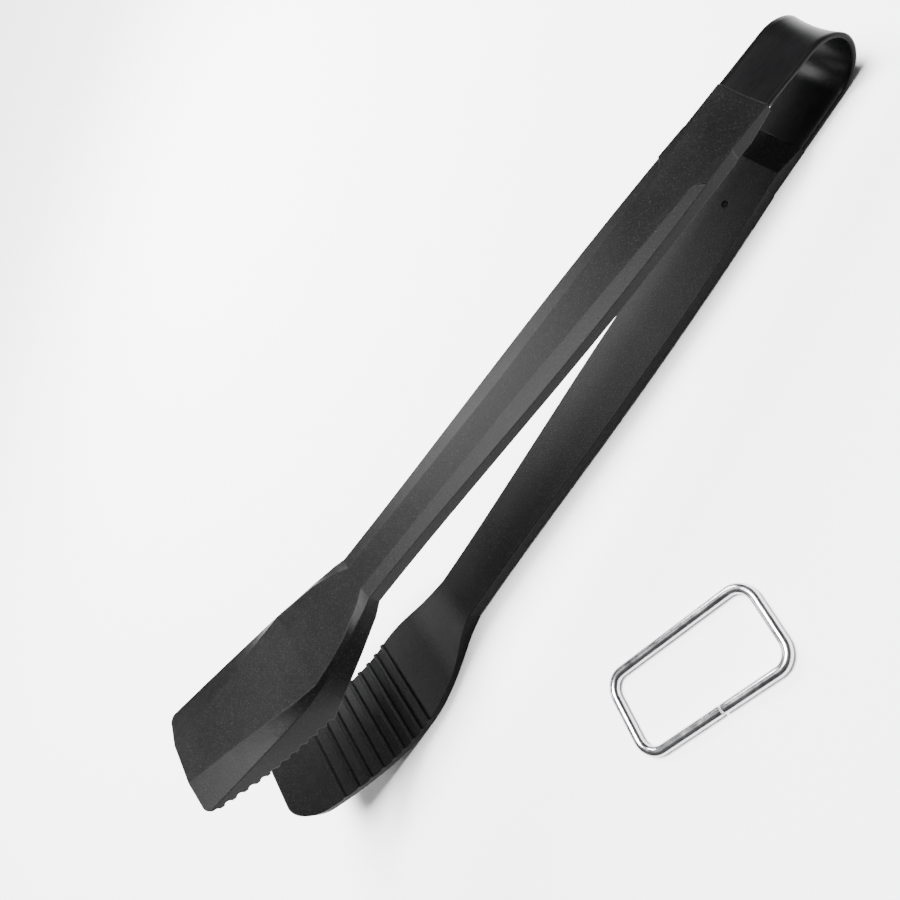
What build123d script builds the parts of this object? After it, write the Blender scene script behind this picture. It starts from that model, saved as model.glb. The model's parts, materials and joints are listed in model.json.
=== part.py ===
from build123d import *
import math
import os

# Spring loaded kitchen tongs with a loose locking ring.
# Millimetres. +Z is up, +X runs along the tongs from the bow to the jaws.
# The lower arm lies with its flat outer face on Z = 0, and the arms stand open at rest.
# Each arm is drawn in its own arm frame: X along the arm, Z = 0 on the outer face, +Z towards
# the other arm. The frame's X = 0 is at the back of the bow. The object's origin is on the lower
# arm's outer face, half way along the tongs.

origin_x = 150.0

# ---- bow spring ----
bow_radius = 12.2
band_width = 19.2
band_thickness = 1.6
band_dish = 0.9
seam_gap = 0.08
tongue_width = 9.6
tongue_depth = 1.4
tongue_thickness = 0.8
tongue_end = 60.0
slot_clearance = 0.15

# ---- arms ----
spread_angle = 9.0
arm_start = 29.0
arm_start_thickness = 2.7
full_thickness_x = 38.0
arm_thickness = 5.1
neck_thickness = 5.8
neck_x = 212.0
middle_x = 140.0
start_half_width = 9.6
shoulder_x = 43.3
half_widths = [(shoulder_x + 0.5, 9.85), (90.0, 11.15), (130.0, 10.9), (170.0, 9.85), (neck_x, 9.4)]
neck_half_width = 9.4
bevel_slope = 0.17
bevel_start = 60.0
bevel_full_x = 135.0
bevel_start_fold = 6.9
bevel_full_fold = 4.6
bevel_arch = 6.0
dish_fade_x = 78.0

# ---- pins ----
pin_x = 52.3
pin_radius = 0.95
pin_sink = 0.15
pin_fit = 0.05

# ---- lower jaw: a ribbed scoop that curves up towards its front ----
scoop_flare = [(218.0, 10.6), (232.0, 15.3), (243.0, 18.1)]
scoop_full_x = 256.0
scoop_rear_x = 236.0
scoop_half_width = 19.1
scoop_bend_x = 253.0
scoop_tip_x = 307.5
scoop_tip_rise = 27.9
scoop_thickness = 2.8
scoop_corner = 9.0
rib_count = 9
rib_radius = 1.0
rib_first_x = 254.2
rib_pitch = 4.9

# ---- upper jaw: a bevelled cap with toothed skirts ----
cap_wide_x = 244.0
cap_teeth_x = 252.4
cap_tip_x = 298.4
cap_wall = 2.6
tooth_count = 12
tooth_notch = 1.4
cap_corner = 3.0

# ---- locking ring ----
ring_wire = 3.2
ring_length = 57.6
ring_width = 28.7
ring_corner = 6.0
ring_gap = 0.8
ring_seam_offset = -1.5
ring_x = 165.0
ring_y = 82.5
ring_turn = -14.0

bow_centre = Vector(bow_radius, 0, bow_radius)


def side_prism(points, half_depth):
    """Prism with a closed outline in the XZ plane, reaching half_depth to both sides in Y."""
    outline = Polyline(*[(x, 0, z) for x, z in points], close=True)
    return extrude(make_face(outline), amount=half_depth, dir=(0, 1, 0), both=True)


def plan_prism(outline_edges, low, high):
    """Vertical prism on a closed outline in the XY plane."""
    return Pos(0, 0, low) * extrude(make_face(outline_edges), amount=high - low, dir=(0, 0, 1))


def band_section():
    """Dished cross-section of the spring band, drawn in the YZ plane, flush with Z = 0."""
    half = band_width / 2
    return make_face(
        [
            ThreePointArc((0, -half, 0), (0, 0, band_dish), (0, half, 0)),
            Line((0, half, 0), (0, half, band_thickness)),
            ThreePointArc((0, half, band_thickness), (0, 0, band_thickness + band_dish),
                          (0, -half, band_thickness)),
            Line((0, -half, band_thickness), (0, -half, 0)),
        ]
    )


def tongue(margin, start, end):
    """Flat bar that joins the band to an arm, grown by a margin in width and thickness."""
    bar = Box(end - start, tongue_width + 2 * margin, tongue_thickness + 2 * margin)
    return Pos((start + end) / 2, 0, tongue_depth + tongue_thickness / 2) * bar


def swung_open(shape):
    """The same shape on the upper arm: mirrored across the bow centre, then swung open."""
    flipped = mirror(shape, about=Plane.XY.offset(bow_centre.Z))
    return flipped.rotate(Axis(bow_centre, (0, 1, 0)), -spread_angle)


def pin_hole(low, high, radius):
    """Upright cylinder at the pin's place."""
    return Pos(pin_x, 0, (low + high) / 2) * Cylinder(radius, high - low)


def make_bow_spring():
    """One bent band with a tongue for each arm; each tongue has a hole for its pin."""
    section = Pos(bow_centre.X, 0, 0) * band_section()
    bend = revolve(section, Axis(bow_centre, (0, 1, 0)), 180 - spread_angle)
    leg = extrude(section, amount=arm_start - seam_gap - bow_centre.X, dir=(1, 0, 0))
    leg += tongue(0, arm_start - 5, tongue_end)
    leg -= pin_hole(-1, 6, pin_radius + pin_fit)
    return leg + bend + swung_open(leg)


def handle_outline():
    """Closed plan outline of the handle, from its start to the neck."""
    edges = [
        Line((arm_start, start_half_width), (arm_start, -start_half_width)),
        Line((neck_x, neck_half_width), (neck_x, -neck_half_width)),
    ]
    for side in (1, -1):
        wide = [(x, side * half) for x, half in half_widths]
        edges.append(Polyline((arm_start, side * start_half_width),
                              (shoulder_x, side * start_half_width), wide[0]))
        edges.append(Spline(*wide))
    return edges


def bevel_section(x, fold, side):
    """Cross-section at X of the stock that the bevel takes off one side."""
    reach = 15.0
    drop = (reach - fold) * bevel_slope
    return make_face(Polyline((x, side * fold, 0), (x, side * fold, -2), (x, side * reach, -2),
                              (x, side * reach, drop), close=True))


def bevel_cutter(side):
    """Shallow bevel along one long outer edge, widening from an arched start."""
    early = bevel_start - bevel_arch
    stations = [(early, bevel_start_fold), (bevel_start, bevel_start_fold),
                (bevel_full_x, bevel_full_fold), (neck_x, bevel_full_fold)]
    stock = loft([bevel_section(x, fold, side) for x, fold in stations], ruled=True)
    arch_y = side * (bevel_start_fold + 0.94 * bevel_arch)
    block = Pos(bevel_start - bevel_arch, arch_y, 0) * Box(2 * bevel_arch, 2 * bevel_arch, 9)
    block -= Pos(bevel_start, arch_y, 0) * Cylinder(bevel_arch, 9)
    return stock - block


def dish_cutter():
    """Very shallow trough that carries the band's dish into the arm and fades out."""
    half = band_width / 2
    radius = (half**2 + band_dish**2) / (2 * band_dish)
    tilt = math.degrees(math.atan(band_dish / (dish_fade_x - arm_start)))
    return Pos(arm_start, 0, band_dish - radius) * Rot(0, 90 + tilt, 0) * Cylinder(radius, 120)


def make_handle():
    """Handle part of an arm in its arm frame, bevelled outside and slotted for the tongue."""
    side = side_prism(
        [(arm_start, 0), (neck_x, 0), (neck_x, neck_thickness), (middle_x, arm_thickness),
         (full_thickness_x, arm_thickness), (arm_start, arm_start_thickness)],
        30,
    )
    handle = side & plan_prism(handle_outline(), -1, 20)
    handle -= dish_cutter()
    handle -= bevel_cutter(1)
    handle -= bevel_cutter(-1)
    handle -= tongue(slot_clearance, arm_start - 1, tongue_end + 0.4)
    handle -= pin_hole(tongue_depth, 8, pin_radius + pin_fit)
    return handle


def jaw_section(x, flat, top, wide, shoulder, foot, bottom):
    """Six-sided cross-section of the upper jaw at one X, in the YZ plane."""
    return make_face(
        Polyline((x, -foot, bottom), (x, -wide, shoulder), (x, -flat, top), (x, flat, top),
                 (x, wide, shoulder), (x, foot, bottom), close=True)
    )


# Stations of the upper jaw: X, half-width of the flat top, top, half-width and height of the
# shoulder below it, half-width and height of the skirt's lower edge.
cap_stations = [
    (neck_x - 0.01, bevel_full_fold, 0.0, neck_half_width, 0.8, neck_half_width, neck_thickness),
    (216.0, 7.4, 0.0, 10.8, 0.9, 12.2, 5.9),
    (227.0, 12.2, 0.0, 13.8, 1.3, 16.8, 6.2),
    (236.0, 14.3, -0.1, 15.8, 1.5, 19.3, 7.3),
    (cap_wide_x, 15.9, -0.6, 17.3, 1.1, 20.0, 9.6),
    (cap_teeth_x, 14.8, -1.7, 18.4, 0.5, 20.2, 12.7),
    (265.0, 12.7, -3.8, 19.0, -1.5, 20.3, 9.2),
    (280.0, 10.2, -6.3, 19.6, -3.9, 20.3, 4.6),
    (cap_tip_x, 7.8, -9.5, 20.2, -6.8, 20.4, -5.6),
]


def skirt_edge(x):
    """Height of the skirt's lower edge at X, straight between the jaw's stations."""
    for rear, front in zip(cap_stations, cap_stations[1:]):
        if x <= front[0]:
            share = (x - rear[0]) / (front[0] - rear[0])
            return rear[6] + share * (front[6] - rear[6])
    return cap_stations[-1][6]


def cap_cavity_section(x, flat, top, wide, shoulder, foot, bottom):
    """Cross-section of the hollow under the upper jaw, open towards the other arm."""
    level = max(bottom, shoulder + cap_wall + 0.5)
    return make_face(
        Polyline((x, cap_wall - foot, 30), (x, cap_wall - foot, level),
                 (x, cap_wall - wide, shoulder + cap_wall), (x, 1 - flat, top + cap_wall),
                 (x, flat - 1, top + cap_wall), (x, wide - cap_wall, shoulder + cap_wall),
                 (x, foot - cap_wall, level), (x, foot - cap_wall, 30), close=True)
    )


def rounded_end(tip, wide, corner):
    """Plan edges across a jaw's tip, with both corners rounded."""
    slant = corner * (1 - math.sqrt(0.5))
    edges = [Line((tip, corner - wide), (tip, wide - corner))]
    for side in (1, -1):
        edges.append(ThreePointArc((tip, side * (wide - corner)),
                                   (tip - slant, side * (wide - slant)),
                                   (tip - corner, side * wide)))
    return edges


def cap_outline():
    """Plan outline that only trims the two front corners of the upper jaw."""
    rear, wide = neck_x - 5, cap_stations[-1][5]
    edges = rounded_end(cap_tip_x, wide, cap_corner)
    edges.append(Line((rear, -30), (rear, 30)))
    for side in (1, -1):
        edges.append(Polyline((cap_tip_x - cap_corner, side * wide),
                              (cap_tip_x - 12, side * (wide + 1)), (rear, side * 30)))
    return edges


def make_upper_jaw():
    """Bevelled cap whose skirts carry a row of teeth, in the arm frame."""
    shell = loft([jaw_section(*station) for station in cap_stations], ruled=True)
    hollow_stations = cap_stations[3:-1] + [(cap_tip_x + 0.01,) + cap_stations[-1][1:]]
    shell -= loft([cap_cavity_section(*station) for station in hollow_stations], ruled=True)
    shell = shell & plan_prism(cap_outline(), -30, 40)
    for index in range(tooth_count):
        share = (index + 0.5) / tooth_count
        notch_x = cap_teeth_x + (cap_tip_x - cap_teeth_x) * share
        notch = Pos(notch_x, 0, skirt_edge(notch_x) + 0.35)
        shell -= notch * Rot(90, 0, 0) * Cylinder(tooth_notch, 60)
    return shell


def scoop_floor(x):
    """Height of the scoop's outer surface at X in the arm frame."""
    share = max(0.0, (x - scoop_bend_x) / (scoop_tip_x - scoop_bend_x))
    return scoop_tip_rise * share**2


def scoop_outline():
    """Plan outline of the scoop, flaring from the neck to its full width."""
    rear = neck_x - 0.01
    edges = rounded_end(scoop_tip_x, scoop_half_width, scoop_corner)
    edges.append(Line((rear, -neck_half_width), (rear, neck_half_width)))
    for side in (1, -1):
        flare = [(rear, neck_half_width)] + scoop_flare + [(scoop_full_x, scoop_half_width)]
        edges.append(Spline(*[(x, side * half) for x, half in flare]))
        edges.append(Line((scoop_full_x, side * scoop_half_width),
                          (scoop_tip_x - scoop_corner, side * scoop_half_width)))
    return edges


def make_lower_jaw():
    """Ribbed scoop in the arm frame."""
    rear = neck_x - 0.01
    steps = [scoop_bend_x + (scoop_tip_x + 4 - scoop_bend_x) * index / 8 for index in range(9)]
    outer = Spline(*[(x, 0, scoop_floor(x)) for x in steps])
    inner = Spline(*[(x - scoop_floor(x) / scoop_tip_rise, 0, scoop_floor(x) + scoop_thickness)
                     for x in steps])
    profile = [
        outer,
        inner,
        Line(outer @ 1, inner @ 1),
        Polyline(outer @ 0, (rear, 0, 0), (rear, 0, neck_thickness)),
        Bezier((rear, 0, neck_thickness), (neck_x + 10, 0, neck_thickness),
               (scoop_rear_x - 10, 0, scoop_thickness), (scoop_rear_x, 0, scoop_thickness)),
        Line((scoop_rear_x, 0, scoop_thickness), inner @ 0),
    ]
    scoop = extrude(make_face(profile), amount=30, dir=(0, 1, 0), both=True)
    for index in range(rib_count):
        rib_x = rib_first_x + rib_pitch * index
        rib_height = scoop_floor(rib_x) + scoop_thickness
        scoop += Pos(rib_x, 0, rib_height) * Rot(90, 0, 0) * Cylinder(rib_radius, 60)
    return scoop & plan_prism(scoop_outline(), -1, 60)


def make_pin():
    """Short pin through the tongue, its end just below the arm's inner face."""
    pin = pin_hole(tongue_depth - 0.1, arm_thickness - pin_sink, pin_radius)
    return chamfer(pin.edges().filter_by(GeomType.CIRCLE).sort_by(Axis.Z)[-1], 0.2)


def make_ring():
    """Wire bent to a rounded rectangle, its two ends meeting in one long side."""
    half_x = ring_length / 2 - ring_wire / 2
    half_y = ring_width / 2 - ring_wire / 2
    seam = ring_seam_offset
    corner = ring_corner
    rest = half_y - corner
    run = half_x - corner
    slant = corner * (1 - math.sqrt(0.5))
    path = Wire([
        Line((seam - ring_gap / 2, half_y), (-run, half_y)),
        ThreePointArc((-run, half_y), (-half_x + slant, half_y - slant), (-half_x, rest)),
        Line((-half_x, rest), (-half_x, -rest)),
        ThreePointArc((-half_x, -rest), (-half_x + slant, -half_y + slant), (-run, -half_y)),
        Line((-run, -half_y), (run, -half_y)),
        ThreePointArc((run, -half_y), (half_x - slant, -half_y + slant), (half_x, -rest)),
        Line((half_x, -rest), (half_x, rest)),
        ThreePointArc((half_x, rest), (half_x - slant, half_y - slant), (run, half_y)),
        Line((run, half_y), (seam + ring_gap / 2, half_y)),
    ])
    start = Plane(origin=path @ 0, z_dir=path % 0)
    wire = sweep(start * Circle(ring_wire / 2), path=path)
    return Pos(ring_x, ring_y, ring_wire / 2) * Rot(0, 0, ring_turn) * wire


def single_solid(shape):
    """The one solid of a finished piece."""
    return shape.solids().sort_by(SortBy.VOLUME)[-1]


pieces = {
    "lower_arm": make_handle() + make_lower_jaw(),
    "upper_arm": swung_open(make_handle() + make_upper_jaw()),
    "bow_spring": make_bow_spring(),
    "lower_pin": make_pin(),
    "upper_pin": swung_open(make_pin()),
    "locking_ring": make_ring(),
}

os.makedirs("parts", exist_ok=True)
for name, shape in pieces.items():
    export_step(Pos(-origin_x, 0, 0) * single_solid(shape), f"parts/{name}.step")
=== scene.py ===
import json
import math

import bpy
from mathutils import Matrix, Vector


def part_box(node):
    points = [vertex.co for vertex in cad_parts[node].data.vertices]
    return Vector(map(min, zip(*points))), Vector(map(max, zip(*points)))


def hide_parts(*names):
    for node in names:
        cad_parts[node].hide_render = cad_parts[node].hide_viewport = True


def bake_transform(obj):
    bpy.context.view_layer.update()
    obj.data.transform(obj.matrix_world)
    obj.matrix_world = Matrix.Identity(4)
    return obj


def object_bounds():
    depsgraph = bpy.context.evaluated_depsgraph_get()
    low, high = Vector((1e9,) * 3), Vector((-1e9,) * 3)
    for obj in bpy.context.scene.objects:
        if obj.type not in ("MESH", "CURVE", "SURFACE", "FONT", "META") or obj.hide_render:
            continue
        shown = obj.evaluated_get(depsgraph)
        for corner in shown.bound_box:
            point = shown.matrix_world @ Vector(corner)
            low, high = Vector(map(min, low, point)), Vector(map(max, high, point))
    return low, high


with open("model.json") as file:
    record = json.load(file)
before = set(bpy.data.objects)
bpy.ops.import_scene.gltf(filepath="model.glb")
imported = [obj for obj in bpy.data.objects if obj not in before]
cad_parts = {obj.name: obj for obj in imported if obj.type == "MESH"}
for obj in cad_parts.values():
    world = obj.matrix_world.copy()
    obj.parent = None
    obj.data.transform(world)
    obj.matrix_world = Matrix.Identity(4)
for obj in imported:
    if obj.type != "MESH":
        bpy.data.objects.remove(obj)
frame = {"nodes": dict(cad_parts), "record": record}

cad_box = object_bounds()
nodes = frame["nodes"]

# Shape of the spring band, in metres. Its places along an arm are measured from the back of the
# bow, which lies bow_back behind the frame's origin.
bow_back = 0.150
spread = math.radians(9.0)
band_thickness = 0.0016
band_dish = 0.0009
band_corner = 0.0004
band_leg = 0.01672
tongue_start = 0.0286
tongue_end = 0.0600
tongue_levels = (0.0014, 0.0021)
prong_inner = 0.0012
prong_outer = 0.0048

# The camera, and how its picture is turned.
camera_place = (-0.0793, 0.1766, 0.2354)
camera_right = (-0.5071, 0.4972, -0.7040)
camera_look = (0.3135, -0.6545, -0.6880)
camera_lens = 35.28


# ---------------------------------------------------------------- material helpers

def new_material(name):
    """An empty node material with a Principled shader joined to its output."""
    material = bpy.data.materials.new(name)
    material.use_nodes = True
    tree = material.node_tree
    tree.nodes.clear()
    output = tree.nodes.new("ShaderNodeOutputMaterial")
    shader = tree.nodes.new("ShaderNodeBsdfPrincipled")
    tree.links.new(shader.outputs["BSDF"], output.inputs["Surface"])
    return material, tree, shader


def object_position(tree):
    """Texture coordinates in metres that stay with the piece."""
    return tree.nodes.new("ShaderNodeTexCoord").outputs["Object"]


def noise(tree, coords, scale, detail=3.0, roughness=0.55):
    """Noise value at a scale given in repeats per metre."""
    node = tree.nodes.new("ShaderNodeTexNoise")
    node.inputs["Scale"].default_value = scale
    node.inputs["Detail"].default_value = detail
    node.inputs["Roughness"].default_value = roughness
    tree.links.new(coords, node.inputs["Vector"])
    return node.outputs["Fac"]


def remap(tree, value, low, high, out_low, out_high):
    """Value clamped between low and high, then scaled to the output range."""
    node = tree.nodes.new("ShaderNodeMapRange")
    node.inputs["From Min"].default_value = low
    node.inputs["From Max"].default_value = high
    node.inputs["To Min"].default_value = out_low
    node.inputs["To Max"].default_value = out_high
    tree.links.new(value, node.inputs["Value"])
    return node.outputs["Result"]


def arithmetic(tree, operation, first, second):
    """Math node on two values, each a socket or a number."""
    node = tree.nodes.new("ShaderNodeMath")
    node.operation = operation
    for index, value in enumerate((first, second)):
        if isinstance(value, (int, float)):
            node.inputs[index].default_value = value
        else:
            tree.links.new(value, node.inputs[index])
    return node.outputs["Value"]


def mixed_colour(tree, factor, first, second):
    """Colour mix; each colour is a tuple or a socket."""
    node = tree.nodes.new("ShaderNodeMix")
    node.data_type = "RGBA"
    tree.links.new(factor, node.inputs["Factor"])
    for socket, value in ((node.inputs[6], first), (node.inputs[7], second)):
        if isinstance(value, tuple):
            socket.default_value = value + (1.0,)
        else:
            tree.links.new(value, socket)
    return node.outputs[2]


def soft_edges(tree, radius):
    """Normal with edges rounded over a small radius, and a mask that is 1 on those edges, which
    the materials use to paint highlights on the edges.
    """
    bevel = tree.nodes.new("ShaderNodeBevel")
    bevel.samples = 6
    bevel.inputs["Radius"].default_value = radius
    geometry = tree.nodes.new("ShaderNodeNewGeometry")
    dot = tree.nodes.new("ShaderNodeVectorMath")
    dot.operation = "DOT_PRODUCT"
    tree.links.new(bevel.outputs["Normal"], dot.inputs[0])
    tree.links.new(geometry.outputs["Normal"], dot.inputs[1])
    edge_highlight_mask = remap(tree, dot.outputs["Value"], 0.985, 0.80, 0.0, 1.0)
    return bevel.outputs["Normal"], edge_highlight_mask


def bump(tree, height, normal, strength, distance):
    """Bumped normal from a height value."""
    node = tree.nodes.new("ShaderNodeBump")
    node.inputs["Strength"].default_value = strength
    node.inputs["Distance"].default_value = distance
    tree.links.new(height, node.inputs["Height"])
    if normal is not None:
        tree.links.new(normal, node.inputs["Normal"])
    return node.outputs["Normal"]


# ---------------------------------------------------------------- materials

def nylon_material():
    """Black glass-filled nylon: fine pale speckle, uneven sheen, and painted highlights that make
    the edges a little lighter.
    """
    material, tree, shader = new_material("arm_nylon")
    coords = object_position(tree)
    speckle = remap(tree, noise(tree, coords, 2600.0, 2.0), 0.56, 0.74, 0.0, 1.0)
    cloud = remap(tree, noise(tree, coords, 60.0, 4.0), 0.35, 0.65, 0.0, 1.0)
    normal, painted_highlight_edges = soft_edges(tree, 0.0005)
    base = mixed_colour(tree, cloud, (0.0020, 0.0020, 0.0021), (0.0026, 0.0026, 0.0027))
    flecked = mixed_colour(tree, arithmetic(tree, "MULTIPLY", speckle, 0.55), base,
                           (0.022, 0.022, 0.023))
    # Painted highlight: the rounded edges are coloured lighter, varied along them by noise, to
    # stand in for light caught on the edges.
    painted_edge_highlight = arithmetic(tree, "MULTIPLY", painted_highlight_edges, remap(tree, noise(tree, coords, 400.0), 0.3, 0.6,
                                                    0.25, 0.9))
    colour = mixed_colour(tree, arithmetic(tree, "MULTIPLY", painted_edge_highlight, 0.7), flecked,
                          (0.014, 0.014, 0.0145))
    tree.links.new(colour, shader.inputs["Base Color"])
    sheen = arithmetic(tree, "ADD", remap(tree, cloud, 0.0, 1.0, 0.36, 0.40),
                       arithmetic(tree, "MULTIPLY", speckle, 0.08))
    tree.links.new(sheen, shader.inputs["Roughness"])
    shader.inputs["IOR"].default_value = 1.53
    shader.inputs["Specular IOR Level"].default_value = 0.05
    grain = arithmetic(tree, "ADD", noise(tree, coords, 1500.0, 3.0),
                       arithmetic(tree, "MULTIPLY", speckle, 0.4))
    tree.links.new(bump(tree, grain, normal, 0.35, 0.00012), shader.inputs["Normal"])
    return material


def spring_material():
    """Glossy black coating on the bent band, with faint lengthwise streaks and painted highlights
    on the edges.
    """
    material, tree, shader = new_material("bow_coating")
    coords = object_position(tree)
    mapping = tree.nodes.new("ShaderNodeMapping")
    mapping.inputs["Scale"].default_value = (0.15, 1.0, 0.15)
    tree.links.new(coords, mapping.inputs["Vector"])
    streak = remap(tree, noise(tree, mapping.outputs["Vector"], 2200.0, 3.0), 0.35, 0.7, 0.0, 1.0)
    patch = noise(tree, coords, 90.0, 3.0)
    normal, painted_highlight_edges = soft_edges(tree, 0.0004)
    base = mixed_colour(tree, streak, (0.0020, 0.0020, 0.0022), (0.0035, 0.0035, 0.0037))
    # Painted highlight: the rounded edges of the band are coloured lighter to stand in for light
    # caught on them.
    colour = mixed_colour(tree, arithmetic(tree, "MULTIPLY", painted_highlight_edges, 0.5), base,
                          (0.014, 0.014, 0.0145))
    tree.links.new(colour, shader.inputs["Base Color"])
    tree.links.new(remap(tree, patch, 0.3, 0.7, 0.28, 0.38), shader.inputs["Roughness"])
    shader.inputs["Specular IOR Level"].default_value = 0.05
    tree.links.new(bump(tree, streak, normal, 0.12, 0.0001), shader.inputs["Normal"])
    return material


def wire_material():
    """Bright plated wire: drawing lines, tiny pits and patches of duller plating."""
    material, tree, shader = new_material("ring_plating")
    coords = object_position(tree)
    patch = noise(tree, coords, 220.0, 4.0)
    pits = remap(tree, noise(tree, coords, 3000.0, 2.0), 0.62, 0.72, 0.0, 1.0)
    colour = mixed_colour(tree, patch, (0.40, 0.40, 0.42), (0.62, 0.62, 0.64))
    dark = mixed_colour(tree, arithmetic(tree, "MULTIPLY", pits, 0.4), colour,
                        (0.30, 0.30, 0.31))
    tree.links.new(dark, shader.inputs["Base Color"])
    shader.inputs["Metallic"].default_value = 1.0
    tree.links.new(remap(tree, patch, 0.3, 0.7, 0.14, 0.26), shader.inputs["Roughness"])
    tree.links.new(bump(tree, noise(tree, coords, 1400.0, 3.0), None, 0.10, 0.0001),
                   shader.inputs["Normal"])
    return material


def pin_material():
    """Dark, dull pin heads with a turned finish and painted highlights on their edges."""
    material, tree, shader = new_material("pin_steel")
    coords = object_position(tree)
    grain = noise(tree, coords, 2500.0, 3.0)
    normal, painted_highlight_edges = soft_edges(tree, 0.0002)
    # Painted highlight: the rounded edges of the pin heads are coloured lighter than the dark
    # faces.
    colour = mixed_colour(tree, painted_highlight_edges, (0.0012, 0.0012, 0.0013), (0.006, 0.006, 0.0062))
    tree.links.new(colour, shader.inputs["Base Color"])
    shader.inputs["Specular IOR Level"].default_value = 0.03
    tree.links.new(remap(tree, grain, 0.3, 0.7, 0.35, 0.55), shader.inputs["Roughness"])
    tree.links.new(bump(tree, grain, normal, 0.2, 0.0001), shader.inputs["Normal"])
    return material


def floor_material():
    """Pale matt studio paper."""
    material, tree, shader = new_material("studio_floor")
    fibre = noise(tree, object_position(tree), 900.0, 3.0)
    tree.links.new(mixed_colour(tree, fibre, (0.93, 0.93, 0.93), (0.96, 0.96, 0.96)),
                   shader.inputs["Base Color"])
    shader.inputs["Roughness"].default_value = 0.9
    return material


# ---------------------------------------------------------------- pieces

def set_material(piece, material):
    """Give a CAD node or a new piece one material."""
    piece.data.materials.clear()
    piece.data.materials.append(material)


def mesh_piece(name, points, faces):
    """New mesh object from points in metres."""
    mesh = bpy.data.meshes.new(name)
    mesh.from_pydata([tuple(point) for point in points], [], faces)
    mesh.update()
    piece = bpy.data.objects.new(name, mesh)
    bpy.context.scene.collection.objects.link(piece)
    return piece


def band_outline(half_width, thickness, dish, corner, steps):
    """Closed cross-section of the dished band as (across, inward) pairs, edges rounded."""
    outline = []
    for side, inner in ((1, False), (-1, True)):
        for index in range(steps + 1):
            share = index / steps
            across = side * (half_width - corner) * (1 - 2 * share)
            sink = dish * (1 - (across / half_width) ** 2)
            outline.append((-across, sink + (thickness if inner else 0.0)))
        turn_side = side * (half_width - corner)
        middle = thickness / 2
        sink = dish * (1 - ((half_width - corner) / half_width) ** 2)
        for index in range(1, 6):
            angle = math.pi * index / 6
            outward = corner * math.sin(angle)
            level = middle - side * math.cos(angle) * middle
            outline.append((turn_side + side * outward, sink + level))
    return outline


def bow_path(centre, radius):
    """Stations along the bow: (point on the outer line, inward direction), lower leg first."""
    leg_steps = 7
    turn_steps = 72
    stations = []
    for index in range(leg_steps):
        ahead = band_leg * (1 - index / leg_steps)
        stations.append((Vector((centre.x + ahead, 0, centre.z - radius)), Vector((0, 0, 1))))
    turn = math.pi - spread
    for index in range(turn_steps + 1):
        angle = turn * index / turn_steps
        inward = Vector((math.sin(angle), 0, math.cos(angle)))
        stations.append((centre - inward * radius, inward))
    last_inward = stations[-1][1]
    along = Vector((math.cos(spread), 0, math.sin(spread)))
    top = stations[-1][0].copy()
    for index in range(1, leg_steps + 1):
        stations.append((top + along * (band_leg * index / leg_steps), last_inward))
    return stations


def band_faces(rows, count):
    """Faces that join neighbouring rows of points into a tube."""
    faces = []
    for row in range(rows - 1):
        for column in range(count):
            after = (column + 1) % count
            faces.append((row * count + column, row * count + after,
                          (row + 1) * count + after, (row + 1) * count + column))
    return faces


def add_end_caps(points, faces, count):
    """Close both ends of the tube with their own points, so that the ends stay crisp."""
    first = len(points)
    points += points[:count] + points[-count:]
    faces.append(tuple(range(first + count - 1, first - 1, -1)))
    faces.append(tuple(range(first + count, first + 2 * count)))


def add_prong(points, faces, centre, upper, low_y, high_y):
    """One prong of the tongue inside an arm, beside the pin, added to the band's mesh."""
    first = len(points)
    for x in (tongue_start, tongue_end):
        for y in (low_y, high_y):
            for z in tongue_levels:
                point = Vector((x - bow_back, y, z))
                if upper:
                    point.z = 2 * centre.z - point.z
                    point = centre + Matrix.Rotation(-spread, 3, "Y") @ (point - centre)
                points.append(point)
    for corners in ((0, 1, 3, 2), (4, 6, 7, 5), (0, 4, 5, 1), (2, 3, 7, 6), (0, 2, 6, 4),
                    (1, 5, 7, 3)):
        order = reversed(corners) if upper else corners
        faces.append(tuple(first + corner for corner in order))


def make_bow():
    """The bent band, fine enough to bend smoothly as the arms close."""
    joints = {item["name"]: item for item in frame["record"]["behaviour"]["joints"]}
    centre = Vector(joints["squeeze"]["pos_m"])
    low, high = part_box("bow_spring")
    half_width = (high[1] - low[1]) / 2
    outline = band_outline(half_width, band_thickness, band_dish, band_corner, 12)
    stations = bow_path(centre, centre.x - low[0])
    points = []
    for outer_point, inward in stations:
        for across, depth in outline:
            points.append(outer_point + inward * depth + Vector((0, across, 0)))
    faces = band_faces(len(stations), len(outline))
    smooth_faces = len(faces)
    add_end_caps(points, faces, len(outline))
    for upper in (False, True):
        add_prong(points, faces, centre, upper, -prong_outer, -prong_inner)
        add_prong(points, faces, centre, upper, prong_inner, prong_outer)
    bow = mesh_piece("bow_band", points, faces)
    for polygon in bow.data.polygons:
        polygon.use_smooth = polygon.index < smooth_faces
    set_material(bow, spring_material())
    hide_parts("bow_spring")
    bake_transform(bow)


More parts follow.
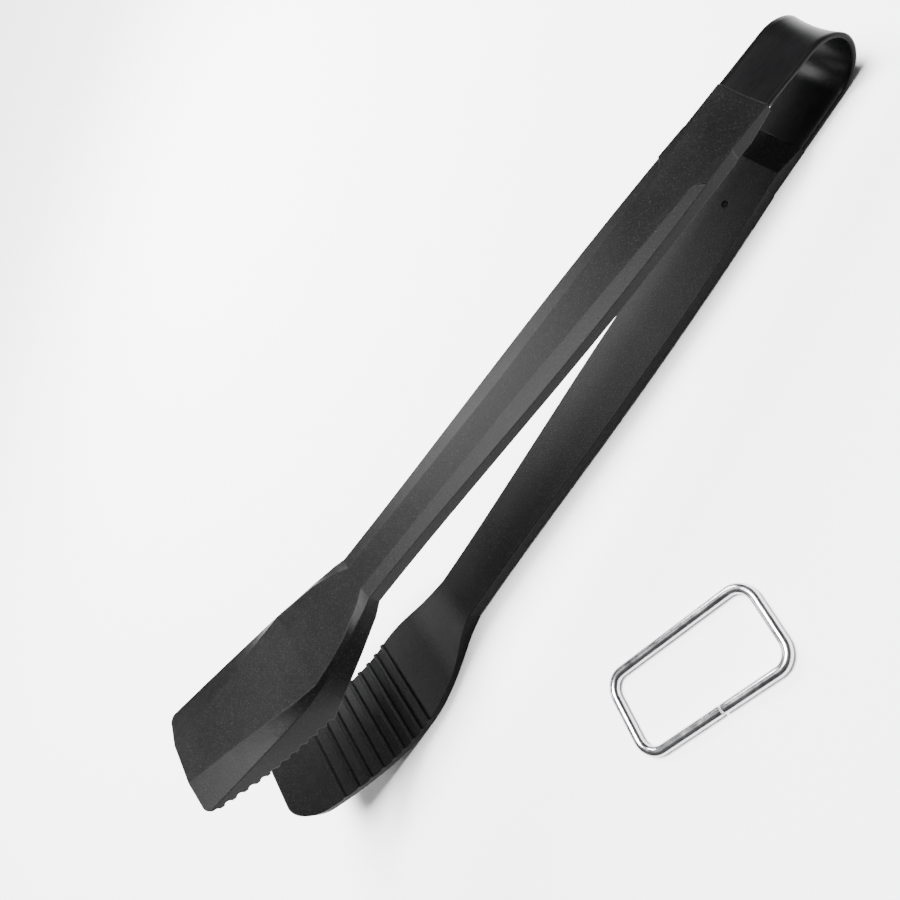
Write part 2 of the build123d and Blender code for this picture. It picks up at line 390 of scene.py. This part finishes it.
def finish_cad_pieces():
    """Materials on the CAD nodes that are shown as they are."""
    nylon = nylon_material()
    steel = pin_material()
    for name in ("lower_arm", "upper_arm"):
        set_material(nodes[name], nylon)
    for name in ("lower_pin", "upper_pin"):
        set_material(nodes[name], steel)
    set_material(nodes["locking_ring"], wire_material())


# ---------------------------------------------------------------- studio

def make_floor():
    """Large flat floor, not part of the object."""
    low_z = cad_box[0][2]
    reach = 3.0
    floor = mesh_piece("studio_floor",
                       [(-reach, -reach, low_z), (reach, -reach, low_z), (reach, reach, low_z),
                        (-reach, reach, low_z)], [(0, 1, 2, 3)])
    set_material(floor, floor_material())


def add_light(name, place, target, size, power):
    """Square area light aimed at a point."""
    data = bpy.data.lights.new(name, "AREA")
    data.shape = "SQUARE"
    data.size = size
    data.energy = power
    lamp = bpy.data.objects.new(name, data)
    lamp.location = place
    aim = Vector(target) - Vector(place)
    lamp.rotation_euler = aim.to_track_quat("-Z", "Y").to_euler()
    bpy.context.scene.collection.objects.link(lamp)


def make_lights():
    """Soft boxes beyond the far side and beyond the jaws, a high lamp and a dim surround."""
    add_light("far_soft_box", (0.01, -0.41, 0.335), (0.01, 0, 0.02), 0.22, 5.6)
    add_light("jaw_soft_box", (0.46, -0.32, 0.32), (0.1, 0, 0.01), 0.2, 1.6)
    add_light("high_lamp", (-0.12, -0.25, 2.2), (0, 0, 0), 1.0, 270.0)
    world = bpy.data.worlds.new("studio_air")
    world.use_nodes = True
    background = world.node_tree.nodes["Background"]
    background.inputs["Color"].default_value = (1.0, 1.0, 1.0, 1.0)
    background.inputs["Strength"].default_value = 0.12
    bpy.context.scene.world = world


def make_camera():
    """Camera above the near side of the tongs, looking down across the handles."""
    data = bpy.data.cameras.new("view_camera")
    data.sensor_width = 36.0
    data.lens = camera_lens
    data.clip_start = 0.01
    camera = bpy.data.objects.new("view_camera", data)
    right = Vector(camera_right).normalized()
    look = Vector(camera_look).normalized()
    up = right.cross(look).normalized()
    right = look.cross(up).normalized()
    turn = Matrix((right, up, -look)).transposed()
    camera.matrix_world = Matrix.Translation(camera_place) @ turn.to_4x4()
    bpy.context.scene.collection.objects.link(camera)
    bpy.context.scene.camera = camera


finish_cad_pieces()
make_bow()
make_floor()
make_lights()
make_camera()
